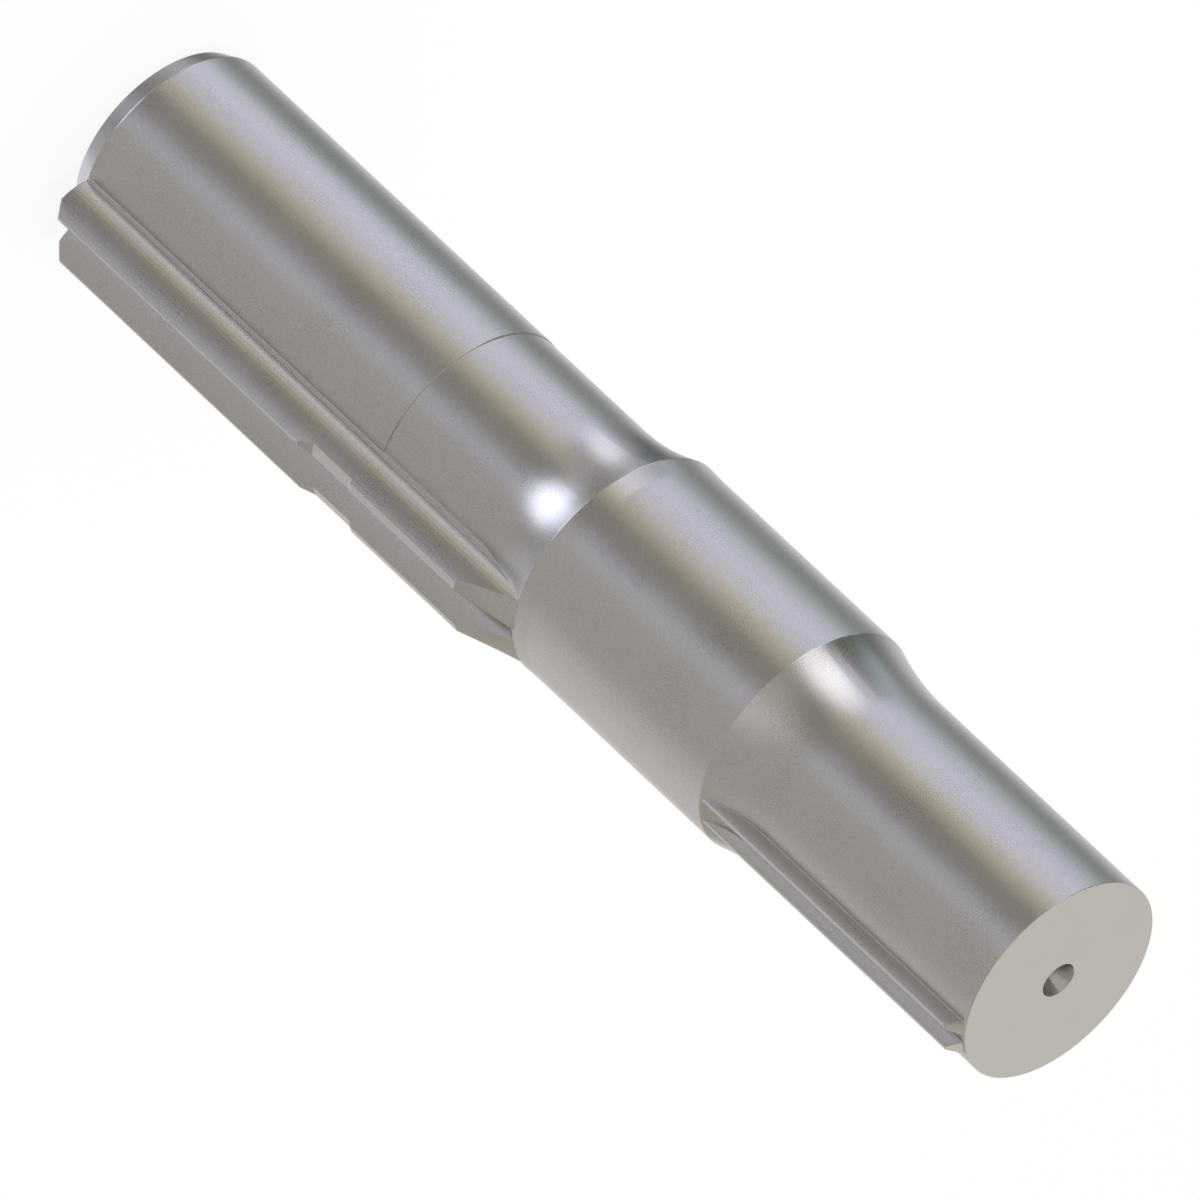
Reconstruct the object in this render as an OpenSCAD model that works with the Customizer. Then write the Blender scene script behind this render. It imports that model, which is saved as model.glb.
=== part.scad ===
// Final drive shaft: one forged and turned steel piece that carries a pinion at one end,
// a ground bearing seat in the middle and an involute spline at the other end.
// The axis is Z. The pinion end stands on z = 0 and the spline end is on top.
// Both toothed ends show their teeth side by side, centred on the -Y side.

/* [Pinion end face] */
// Diameter of the flat face that the shaft stands on
end_face_d = 49.1; // [40:0.1:52]
// Length of the tapered lead-in behind the face
lead_in_l = 4.6; // [2:0.1:12]
// Plain length between the lead-in and the teeth
pinion_land = 0.4; // [0.2:0.1:3]

/* [Pinion teeth] */
// Places for teeth around the full ring
pinion_places = 15; // [12:1:20]
// Teeth that are present, side by side
pinion_shown = 2; // [1:1:20]
// Diameter over the pinion's tips
pinion_tip_d = 73; // [66:0.1:80]
// Root diameter, and the diameter of the shaft between the teeth
pinion_root_d = 53.15; // [50:0.05:56]
// Pressure angle in degrees
pinion_pressure = 32; // [20:0.5:33]
// Amount by which a tooth is thinner than half the pitch, on the pitch circle. A negative
// value is a thicker tooth.
pinion_thin = -0.25; // [-0.4:0.05:1.4]
// Radius of the fillet at a tooth's foot
pinion_foot_r = 1; // [0.4:0.1:1.4]
// Length of the teeth at full height, with the end chamfer
pinion_l = 87.6; // [60:0.1:120]
// 45 degree chamfer on the tips at the shaft's end
pinion_tip_bevel = 2.6; // [0.5:0.1:4]

/* [Turned band behind the pinion] */
// Length of the band in which the tips are turned down
band_l = 16.7; // [10:0.1:30]
// How far the tips are turned down there
band_depth = 1.6; // [0.5:0.05:3]
// Length of the slope down into the band
band_in_l = 3.6; // [0.5:0.1:5]
// Length of the slope back up behind the seam
band_out_l = 0.6; // [0.4:0.1:5]

/* [Rear teeth and neck] */
// Length from the seam to the bearing seat
rear_l = 52.3; // [40:0.1:80]
// How far the tips of the rear teeth lie below the pinion's
rear_drop = 0.9; // [0.2:0.05:1.5]
// Diameter of the neck between the rear teeth
neck_d = 52.75; // [48:0.05:54]
// Length of the run-out, from the full height of the rear teeth to the bearing seat
runout_l = 14.5; // [8:0.1:24]
// Radius of the hollow arc along which the run-out brings the tips down
runout_r = 100; // [40:1:200]
// Radius of the blend from the neck up to the bearing seat
neck_blend_r = 49; // [20:1:80]

/* [Bearing seat] */
// Diameter of the ground seat
seat_d = 60; // [58:0.5:64]
// Length of the seat with its unground rim
seat_l = 65.4; // [40:0.1:100]
// How much larger the unground rim beside the neck is, in diameter
rim_rise = 0.4; // [0.1:0.1:1]
// Length over which the rim falls to the ground size
rim_l = 5; // [2:0.5:10]
// Radius of the blend from the seat down to the spline's root
spline_blend_r = 66.5; // [30:0.5:100]

/* [Spline end] */
// Length from the seat to the end face
spline_end_l = 88.7; // [50:0.1:120]
// Places for teeth around the full spline
spline_places = 25; // [20:1:30]
// Teeth that are present, side by side
spline_shown = 2; // [1:1:30]
// How far the spline's tips lie below the seat, so that a bearing passes over them
spline_drop = 0.2; // [0.1:0.05:1]
// Root diameter, and the diameter of the shaft between the teeth
spline_root_d = 53.8; // [52:0.05:56]
// Pressure angle in degrees
spline_pressure = 30; // [25:0.5:37.5]
// Amount by which a tooth is thinner than half the pitch, on the pitch circle
spline_thin = 1; // [0.2:0.05:1.4]
// Radius of the fillet at a tooth's foot
spline_foot_r = 0.4; // [0.2:0.05:0.6]
// Plain land between the teeth and the end face
spline_land = 0.8; // [0.3:0.1:5]

/* [Centre holes] */
// Diameter of the 60 degree mouth
centre_mouth_d = 9.1; // [6:0.1:14]
// Diameter of the drilled pilot
centre_pilot_d = 4; // [2:0.1:5]
// Depth of the drilled pilot from the face
centre_depth = 11; // [9:0.5:20]

/* [Hidden] */
steel = [0.6, 0.59, 0.57];
$fn = 180;

// Points on one flank and on one foot fillet
flank_points = 10;
foot_points = 5;
// The teeth are rooted this deep inside the shaft
root_sink = 1.5;
// The foot fillets end this far under the root surface
foot_sink = 0.05;
// How far an envelope reaches into the solid next to it
into = 1;
// The sections of the teeth go this far past the tips that the envelopes cut
tip_over = 0.2;
// The arcs of the blends dip this far under the smaller diameter, so that they cross it
blend_dip = 0.02;
// The run-out meets the seat this far above its rim, and goes on into it this far
runout_lift = 0.1;
runout_into = 3;
// Addendum of a full-depth gear tooth and of a stub spline tooth, in modules
gear_addendum = 1;
spline_addendum = 0.5;
centre_angle = 60;
drill_point = 118;

// Stations along the axis, from the end that the shaft stands on
z_teeth = lead_in_l + pinion_land;
z_band = z_teeth + pinion_l;
z_seam = z_band + band_l;
z_seat = z_seam + rear_l;
z_seat_end = z_seat + seat_l;
z_end = z_seat_end + spline_end_l;

// Radii
end_face_r = end_face_d / 2;
pinion_tip_r = pinion_tip_d / 2;
pinion_root_r = pinion_root_d / 2;
band_r = pinion_tip_r - band_depth;
rear_tip_r = pinion_tip_r - rear_drop;
neck_r = neck_d / 2;
seat_r = seat_d / 2;
rim_r = seat_r + rim_rise / 2;
spline_root_r = spline_root_d / 2;
spline_tip_r = seat_r - spline_drop;

// Axial run of each blend, from the arc's lowest point to the seat's edge
neck_blend_l = arc_run(neck_blend_r, rim_r - neck_r + blend_dip);
spline_blend_l = arc_run(spline_blend_r, seat_r - spline_root_r + blend_dip);

// Centre of the run-out's arc, in radius and station
runout_centre = arc_centre([rear_tip_r, z_seat - runout_l], [rim_r + runout_lift, z_seat],
                           runout_r);

function arc_run(r, rise) = sqrt(r * r - (r - rise) * (r - rise));

// Centre of the arc of radius r from a to b, on the right of that way
function arc_centre(a, b, r) =
    let (half = norm(b - a) / 2, along = (b - a) / (2 * half))
    (a + b) / 2 + sqrt(r * r - half * half) * [along[1], -along[0]];

function polar(r, a) = [r * cos(a), r * sin(a)];

// Involute of an angle, in degrees
function inv(a) = tan(a) * 180 / PI - a;

// Module of a ring of teeth from its tip radius, and the radii and angles that follow
function module_of(tip_r, places, addendum) = 2 * tip_r / (places + 2 * addendum);
function pitch_r(tip_r, places, addendum) = module_of(tip_r, places, addendum) * places / 2;

// Half the angle that a tooth fills at radius r; under the base circle the flank is radial
function half_angle(r, pitch, base, places, pressure, thin) =
    90 / places - thin / 2 / pitch * 180 / PI
    + inv(pressure) - inv(acos(min(1, base / r)));

// One flank from the foot up to the tip, in polar pairs of radius and half angle
function flank(tip_r, root_r, foot_r, pitch, base, places, pressure, thin) =
    let (
        low = root_r - foot_sink,
        lean = acos(min(1, base / low)),
        start = half_angle(low, pitch, base, places, pressure, thin),
        foot_x = foot_r * (1 - sin(lean)) / cos(lean),
        flank_r = low + foot_r * (1 - sin(lean)),
        foot = [for (i = [0 : foot_points])
            let (
                b = 90 - (90 - lean) * i / foot_points,
                x = foot_x - foot_r * cos(b),
                r = low + foot_r * (1 - sin(b))
            )
            [r, start + x / r * 180 / PI]],
        side = [for (i = [1 : flank_points])
            let (r = flank_r + (tip_r + tip_over - flank_r) * i / flank_points)
            [r, half_angle(r, pitch, base, places, pressure, thin)]]
    )
    concat([[root_r - root_sink, foot[0][1]]], foot, side);

// Section of one tooth, pointing along angle a
module tooth_section(a, tip_r, root_r, foot_r, places, addendum, pressure, thin) {
    pitch = pitch_r(tip_r, places, addendum);
    base = pitch * cos(pressure);
    side = flank(tip_r, root_r, foot_r, pitch, base, places, pressure, thin);
    n = len(side);
    polygon(concat(
        [for (p = side) polar(p[0], a - p[1])],
        [for (i = [n - 1 : -1 : 0]) polar(side[i][0], a + side[i][1])]));
}

// Bars with the section of the teeth, side by side and centred on the -Y side
module tooth_bars(z0, z1, shown, tip_r, root_r, foot_r, places, addendum, pressure, thin) {
    for (i = [0 : min(shown, places) - 1])
        translate([0, 0, z0])
            linear_extrude(z1 - z0)
                tooth_section(-90 + (i - (min(shown, places) - 1) / 2) * 360 / places,
                              tip_r, root_r, foot_r, places, addendum, pressure, thin);
}

// Half section of the turned shaft without its teeth. Each blend is cut by a circle whose
// arc starts in the smaller diameter and ends at the seat's edge.
module shaft_section() {
    z_neck_blend = z_seat - neck_blend_l;
    z_spline_blend = z_seat_end + spline_blend_l;
    rim_slope = (rim_r - seat_r) / rim_l;
    difference() {
        polygon([[0, 0], [end_face_r, 0], [pinion_root_r, lead_in_l], [pinion_root_r, z_seam],
                 [neck_r, z_seam], [neck_r, z_neck_blend],
                 [rim_r + rim_slope * neck_blend_l, z_neck_blend], [seat_r, z_seat + rim_l],
                 [seat_r, z_spline_blend], [spline_root_r, z_spline_blend],
                 [spline_root_r, z_end], [0, z_end]]);
        translate([neck_r - blend_dip + neck_blend_r, z_neck_blend])
            circle(neck_blend_r);
        translate([spline_root_r - blend_dip + spline_blend_r, z_spline_blend])
            circle(spline_blend_r);
    }
}

// Half section that the tips of the pinion and rear teeth are turned to. The circle cuts the
// run-out, and the section ends inside the seat.
module pinion_envelope() {
    difference() {
        polygon([[0, z_teeth], [pinion_tip_r - pinion_tip_bevel, z_teeth],
                 [pinion_tip_r, z_teeth + pinion_tip_bevel], [pinion_tip_r, z_band],
                 [band_r, z_band + band_in_l], [band_r, z_seam],
                 [rear_tip_r, z_seam + band_out_l], [rear_tip_r, z_seat + runout_into],
                 [0, z_seat + runout_into]]);
        translate(runout_centre)
            circle(runout_r);
    }
}

// Half section that the tips of the spline are turned to, with a 45 degree end
module spline_envelope() {
    low_r = spline_root_r - into / 2;
    z_low = z_end - spline_land + into / 2;
    polygon([[0, z_seat_end - into], [spline_tip_r, z_seat_end - into],
             [spline_tip_r, z_low - (spline_tip_r - low_r)], [low_r, z_low], [0, z_low]]);
}

module pinion_teeth() {
    intersection() {
        tooth_bars(z_teeth, z_seat + seat_l / 2, pinion_shown, pinion_tip_r, pinion_root_r,
                   pinion_foot_r, pinion_places, gear_addendum, pinion_pressure, pinion_thin);
        rotate_extrude() pinion_envelope();
    }
}

module spline_teeth() {
    intersection() {
        tooth_bars(z_seat_end - into, z_end, spline_shown, spline_tip_r, spline_root_r,
                   spline_foot_r, spline_places, spline_addendum, spline_pressure, spline_thin);
        rotate_extrude() spline_envelope();
    }
}

// Lathe centre hole, drawn with its mouth on z = 0 and going up into the shaft
module centre_hole() {
    mouth_r = centre_mouth_d / 2;
    pilot_r = centre_pilot_d / 2;
    cone_l = (mouth_r - pilot_r) / tan(centre_angle / 2);
    rotate_extrude()
        polygon([[0, -into], [mouth_r, -into], [mouth_r, 0], [pilot_r, cone_l],
                 [pilot_r, centre_depth],
                 [0, centre_depth + pilot_r / tan(drill_point / 2)]]);
}

module drive_shaft() {
    color(steel)
        difference() {
            union() {
                rotate_extrude() shaft_section();
                pinion_teeth();
                spline_teeth();
            }
            centre_hole();
            translate([0, 0, z_end]) mirror([0, 0, 1]) centre_hole();
        }
}

drive_shaft();
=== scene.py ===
"""Final drive shaft: satin steel, stage, studio light and camera around the CAD frame."""

import math

import bpy
from mathutils import Matrix, Vector

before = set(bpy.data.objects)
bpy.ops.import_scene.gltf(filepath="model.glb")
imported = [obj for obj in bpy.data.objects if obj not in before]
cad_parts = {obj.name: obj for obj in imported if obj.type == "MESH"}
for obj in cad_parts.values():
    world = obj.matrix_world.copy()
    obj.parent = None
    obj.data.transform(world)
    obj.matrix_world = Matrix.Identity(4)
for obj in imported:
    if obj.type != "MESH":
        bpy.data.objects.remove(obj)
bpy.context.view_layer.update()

# Camera. Lengths are in metres, apart from the lens and the sensor. The lens is very long, so
# that the view is as good as parallel. Compass angles are round the shaft's axis, from +X.
LENS_MM = 1500.0
SENSOR_MM = 36.0
FRAME_WIDTH = 0.2669
TARGET_UP = 0.164
TARGET_ASIDE = -0.00794
CAMERA_COMPASS = 206.85
CAMERA_RISE = 30.0
CAMERA_ROLL = 43.12

# Studio
FLOOR_RADIUS = 6.0
FLOOR_CORNERS = 96
FLOOR_WHITE = 0.9
FLOOR_GLOW = 0.9
STUDIO_GREY = (0.144, 0.141, 0.100)
LAMP_HEIGHT = 2.2
LAMP_ACROSS = 1.6
LAMP_WATTS = 22.0

# Steel: colour and roughness with how far they drift, grain, and the width of a broken edge
STEEL = (0.47, 0.455, 0.435)
STEEL_DRIFT = 0.025
STEEL_ROUGH = 0.28
ROUGH_DRIFT = 0.01
CLOUDS_PER_METRE = 60.0
GRAINS_PER_METRE = 3000.0
GRAIN_DEPTH = 0.000012
GRAIN_SHADE = 0.065
BROKEN_EDGE = 0.0004

# A face is faced across the axis where this much of its normal is along the axis: from, to
FACED = (0.98, 0.998)


def compass(degrees, rise=0.0):
    """Direction at a compass angle around the shaft's axis, lifted by rise."""
    turn = math.radians(degrees)
    lift = math.radians(rise)
    return Vector((math.cos(turn) * math.cos(lift),
                   math.sin(turn) * math.cos(lift),
                   math.sin(lift)))


class NodeSheet:
    """Short calls for adding nodes to one node tree and wiring them."""

    def __init__(self, tree):
        self.tree = tree

    def add(self, kind, **settings):
        node = self.tree.nodes.new(kind)
        for name, value in settings.items():
            setattr(node, name, value)
        return node

    def link(self, source, target):
        self.tree.links.new(source, target)

    def feed(self, socket, value):
        if isinstance(value, bpy.types.NodeSocket):
            self.link(value, socket)
        else:
            socket.default_value = value

    def maths(self, operation, *values, clamp=False):
        node = self.add("ShaderNodeMath", operation=operation, use_clamp=clamp)
        for socket, value in zip(node.inputs, values):
            self.feed(socket, value)
        return node.outputs[0]

    def vector(self, operation, *values):
        node = self.add("ShaderNodeVectorMath", operation=operation)
        for socket, value in zip(node.inputs, values):
            self.feed(socket, value)
        return node

    def span(self, value, low, high, to_low=0.0, to_high=1.0):
        node = self.add("ShaderNodeMapRange", interpolation_type="SMOOTHERSTEP")
        for name, given in (("Value", value), ("From Min", low), ("From Max", high),
                            ("To Min", to_low), ("To Max", to_high)):
            self.feed(node.inputs[name], given)
        return node.outputs["Result"]


def make_camera():
    """Camera at the photograph's angle, rolled so that the shaft runs down to the right."""
    toward = compass(CAMERA_COMPASS)
    up = Vector((0.0, 0.0, 1.0))
    aside = toward.cross(up)
    back = compass(CAMERA_COMPASS, CAMERA_RISE)
    along = aside.cross(back)
    roll = math.radians(CAMERA_ROLL)
    right = math.cos(roll) * along + math.sin(roll) * aside
    top = -math.sin(roll) * along + math.cos(roll) * aside
    target = up * TARGET_UP + aside * TARGET_ASIDE
    place = target + back * (FRAME_WIDTH * LENS_MM / SENSOR_MM)
    data = bpy.data.cameras.new("photo_camera")
    data.lens = LENS_MM
    data.sensor_width = SENSOR_MM
    camera = bpy.data.objects.new("photo_camera", data)
    turn = Matrix((right, top, back)).transposed().to_4x4()
    camera.matrix_world = Matrix.Translation(place) @ turn
    bpy.context.scene.collection.objects.link(camera)
    bpy.context.scene.camera = camera


def make_floor():
    """Plain white floor. What the camera sees of it is white, with the shaft's soft shadow."""
    mesh = bpy.data.meshes.new("studio_floor")
    corners = range(FLOOR_CORNERS)
    ring = [tuple(FLOOR_RADIUS * compass(360.0 * i / FLOOR_CORNERS)) for i in corners]
    mesh.from_pydata(ring, [], [list(corners)])
    floor = bpy.data.objects.new("studio_floor", mesh)
    bpy.context.scene.collection.objects.link(floor)
    material = bpy.data.materials.new("floor_white")
    material.use_nodes = True
    sheet = NodeSheet(material.node_tree)
    material.node_tree.nodes.clear()
    paint = sheet.add("ShaderNodeBsdfDiffuse")
    paint.inputs["Color"].default_value = (FLOOR_WHITE, FLOOR_WHITE, FLOOR_WHITE, 1.0)
    glow = sheet.add("ShaderNodeEmission")
    glow.inputs["Strength"].default_value = 1.0
    rays = sheet.add("ShaderNodeLightPath")
    seen = sheet.maths("ADD", rays.outputs["Is Camera Ray"], rays.outputs["Is Glossy Ray"])
    seen = sheet.maths("ADD", seen, rays.outputs["Is Transmission Ray"], clamp=True)
    share = sheet.maths("MULTIPLY", seen, FLOOR_GLOW)
    mix = sheet.add("ShaderNodeMixShader")
    sheet.link(share, mix.inputs[0])
    sheet.link(paint.outputs[0], mix.inputs[1])
    sheet.link(glow.outputs[0], mix.inputs[2])
    out = sheet.add("ShaderNodeOutputMaterial")
    sheet.link(mix.outputs[0], out.inputs["Surface"])
    mesh.materials.append(material)
    floor.visible_glossy = False
    floor.visible_shadow = False


# Round soft lamps and cards around the shaft: compass angle and rise of the middle, angle
# from the middle to where it is full and to where it ends, and colour gain. A negative gain
# is a dark card.
SOFT_LIGHTS = [
    ("low_lamp", 206.7, -57.3, 10.8, 17.1, (2.540, 2.684, 3.366)),
    ("side_lamp", 151.5, -7.7, 2.8, 20.4, (2.118, 2.091, 2.235)),
    ("cool_lamp", 116.6, -41.0, 2.5, 16.6, (1.692, 1.656, 2.052)),
    ("cool_low_lamp", 136.6, -20.2, 3.5, 18.5, (0.764, 0.793, 1.032)),
    ("left_low_fill", 329.6, -56.5, 12.2, 41.4, (0.500, 0.507, 0.610)),
    ("middle_card", 187.7, -36.9, 2.4, 19.4, (-0.418, -0.373, -0.411)),
    ("low_card", 60.1, -46.1, 1.3, 19.5, (-0.564, -0.596, -0.646)),
    ("side_card", 94.3, -29.4, 7.1, 33.4, (-0.454, -0.427, -0.479)),
    ("green_glint", 104.7, -20.7, 2.3, 16.0, (0.671, 0.761, 0.877)),
    ("warm_fill", 169.2, -43.0, 8.1, 32.8, (0.475, 0.463, 0.528)),
    ("back_left_fill", 342.4, -10.8, 10.8, 68.8, (0.414, 0.392, 0.371)),
    ("back_right_fill", 57.3, -40.6, 11.9, 59.7, (0.703, 0.707, 0.796)),
    ("front_up_fill", 200.6, 17.3, 9.5, 46.3, (0.469, 0.451, 0.458)),
    ("left_fill", 252.2, -11.9, 13.1, 68.6, (0.459, 0.444, 0.480)),
    ("over_back_fill", 24.4, 40.8, 20.2, 72.5, (0.813, 0.812, 0.816)),
    ("upper_front_fill", 150.0, 62.0, 10.0, 60.0, (0.369, 0.351, 0.328)),
    ("amber_fill", 165.8, -29.0, 1.9, 15.5, (0.103, 0.036, -0.102)),
    ("lavender_fill", 128.5, -29.5, 1.3, 11.4, (0.119, 0.164, 0.285)),
    ("middle_low_fill", 191.8, -30.3, 1.1, 13.2, (0.207, 0.148, 0.149)),
    ("cool_front_fill", 210.8, -36.0, 1.2, 14.2, (0.205, 0.233, 0.366)),
    ("side_low_fill", 152.7, -24.4, 1.8, 13.4, (0.173, 0.186, 0.161)),
    ("left_low_lamp", 313.1, -50.1, 2.1, 13.7, (0.904, 0.960, 1.306)),
    ("low_side_card", 72.7, -48.1, 1.9, 12.3, (-0.048, -0.005, 0.033)),
]

# The side behind the shaft is open to the white background. The numbers mean the same there.
OPEN_SIDE = (26.85, -30.0, 4.0, 26.0)


def round_mask(sheet, direction, angle, rise, full, none):
    """Mask of a round place in the studio, one inside full degrees and zero beyond none."""
    toward = sheet.vector("DOT_PRODUCT", direction, tuple(compass(angle, rise)))
    return sheet.span(toward.outputs["Value"], math.cos(math.radians(none)),
                      math.cos(math.radians(full)))


def make_world():
    """Soft studio light on the steel, and plain white for the camera.

    The steel also shows the white background, where it mirrors the open side.
    """
    world = bpy.data.worlds.new("studio")
    world.use_nodes = True
    bpy.context.scene.world = world
    world.cycles.sampling_method = "NONE"
    sheet = NodeSheet(world.node_tree)
    world.node_tree.nodes.clear()
    direction = sheet.add("ShaderNodeTexCoord").outputs["Generated"]
    light = STUDIO_GREY
    for name, angle, rise, full, none, gain in SOFT_LIGHTS:
        mask = round_mask(sheet, direction, angle, rise, full, none)
        tint = sheet.vector("SCALE", gain)
        tint.label = name
        sheet.link(mask, tint.inputs["Scale"])
        light = sheet.vector("ADD", light, tint.outputs[0]).outputs[0]
    light = sheet.vector("MAXIMUM", light, (0.0, 0.0, 0.0)).outputs[0]
    studio = sheet.add("ShaderNodeBackground")
    sheet.link(light, studio.inputs["Color"])
    white = sheet.add("ShaderNodeBackground")
    white.inputs["Color"].default_value = (1.0, 1.0, 1.0, 1.0)
    rays = sheet.add("ShaderNodeLightPath")
    mirrored = sheet.maths("ADD", rays.outputs["Is Glossy Ray"],
                           rays.outputs["Is Transmission Ray"])
    mirrored = sheet.maths("MULTIPLY", mirrored,
                           round_mask(sheet, direction, *OPEN_SIDE))
    share = sheet.maths("ADD", rays.outputs["Is Camera Ray"], mirrored, clamp=True)
    mix = sheet.add("ShaderNodeMixShader")
    sheet.link(share, mix.inputs[0])
    sheet.link(studio.outputs[0], mix.inputs[1])
    sheet.link(white.outputs[0], mix.inputs[2])
    out = sheet.add("ShaderNodeOutputWorld")
    sheet.link(mix.outputs[0], out.inputs["Surface"])


def make_lamp():
    """Large soft lamp overhead, for the shadow on the floor. The steel doesn't mirror it."""
    data = bpy.data.lights.new("overhead_lamp", "AREA")
    data.shape = "DISK"
    data.size = LAMP_ACROSS
    data.energy = LAMP_WATTS
    lamp = bpy.data.objects.new("overhead_lamp", data)
    lamp.location = (0.0, 0.0, LAMP_HEIGHT)
    lamp.visible_glossy = False
    bpy.context.scene.collection.objects.link(lamp)


def steel_grain_group():
    """Fine sparkle of peened steel: a height and a shade that change from grain to grain.

    The flat faces across the axis are faced on the lathe and have none. A slow cloud is put
    out too, for the drift of the steel's colour and roughness.
    """
    group = bpy.data.node_groups.new("steel_grain", "ShaderNodeTree")
    face = group.interface
    for name in ("Grains per metre", "Shade depth", "Clouds per metre"):
        face.new_socket(name, in_out="INPUT", socket_type="NodeSocketFloat")
    for name in ("Height", "Shade", "Cloud"):
        face.new_socket(name, in_out="OUTPUT", socket_type="NodeSocketFloat")
    sheet = NodeSheet(group)
    given = sheet.add("NodeGroupInput")
    result = sheet.add("NodeGroupOutput")
    surface = sheet.add("ShaderNodeTexCoord")
    place = surface.outputs["Object"]
    square = sheet.vector("DOT_PRODUCT", surface.outputs["Normal"], (0.0, 0.0, 1.0))
    square = sheet.maths("ABSOLUTE", square.outputs["Value"])
    peened = sheet.span(square, *FACED, 1.0, 0.0)
    grain = sheet.add("ShaderNodeTexNoise")
    grain.inputs["Detail"].default_value = 0.0
    sheet.link(place, grain.inputs["Vector"])
    sheet.link(given.outputs["Grains per metre"], grain.inputs["Scale"])
    cloud = sheet.add("ShaderNodeTexNoise")
    cloud.inputs["Detail"].default_value = 3.0
    sheet.link(place, cloud.inputs["Vector"])
    sheet.link(given.outputs["Clouds per metre"], cloud.inputs["Scale"])
    depth = sheet.maths("MULTIPLY", given.outputs["Shade depth"], peened)
    shade = sheet.span(grain.outputs["Fac"], 0.25, 0.75, sheet.maths("SUBTRACT", 1.0, depth),
                       sheet.maths("ADD", 1.0, depth))
    height = sheet.maths("MULTIPLY", grain.outputs["Fac"], peened)
    sheet.link(height, result.inputs["Height"])
    sheet.link(shade, result.inputs["Shade"])
    sheet.link(cloud.outputs["Fac"], result.inputs["Cloud"])
    return group


def shaft_steel():
    """Satin steel of the whole shaft, with its sharp edges broken so that they catch the light."""
    material = bpy.data.materials.new("shaft_steel")
    material.use_nodes = True
    sheet = NodeSheet(material.node_tree)
    steel = material.node_tree.nodes["Principled BSDF"]
    steel.inputs["Metallic"].default_value = 1.0
    grain = sheet.add("ShaderNodeGroup", node_tree=steel_grain_group())
    grain.inputs["Grains per metre"].default_value = GRAINS_PER_METRE
    grain.inputs["Shade depth"].default_value = GRAIN_SHADE
    grain.inputs["Clouds per metre"].default_value = CLOUDS_PER_METRE
    colour = sheet.add("ShaderNodeMix", data_type="RGBA")
    colour.inputs["A"].default_value = (*((1.0 - STEEL_DRIFT) * c for c in STEEL), 1.0)
    colour.inputs["B"].default_value = (*((1.0 + STEEL_DRIFT) * c for c in STEEL), 1.0)
    sheet.link(grain.outputs["Cloud"], colour.inputs["Factor"])
    shaded = sheet.vector("SCALE", colour.outputs["Result"])
    sheet.link(grain.outputs["Shade"], shaded.inputs["Scale"])
    sheet.link(shaded.outputs[0], steel.inputs["Base Color"])
    rough = sheet.span(grain.outputs["Cloud"], 0.3, 0.7, STEEL_ROUGH - ROUGH_DRIFT,
                       STEEL_ROUGH + ROUGH_DRIFT)
    sheet.link(rough, steel.inputs["Roughness"])
    edge = sheet.add("ShaderNodeBevel", samples=6)
    edge.inputs["Radius"].default_value = BROKEN_EDGE
    bump = sheet.add("ShaderNodeBump")
    bump.inputs["Strength"].default_value = 1.0
    bump.inputs["Distance"].default_value = GRAIN_DEPTH
    sheet.link(grain.outputs["Height"], bump.inputs["Height"])
    sheet.link(edge.outputs["Normal"], bump.inputs["Normal"])
    sheet.link(bump.outputs["Normal"], steel.inputs["Normal"])
    return material


def dress_shaft():
    """Gives the shaft its steel."""
    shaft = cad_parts["drive_shaft"]
    shaft.data.materials[0] = shaft_steel()


make_camera()
make_floor()
make_world()
make_lamp()
dress_shaft()
bpy.context.scene.view_settings.view_transform = "Standard"
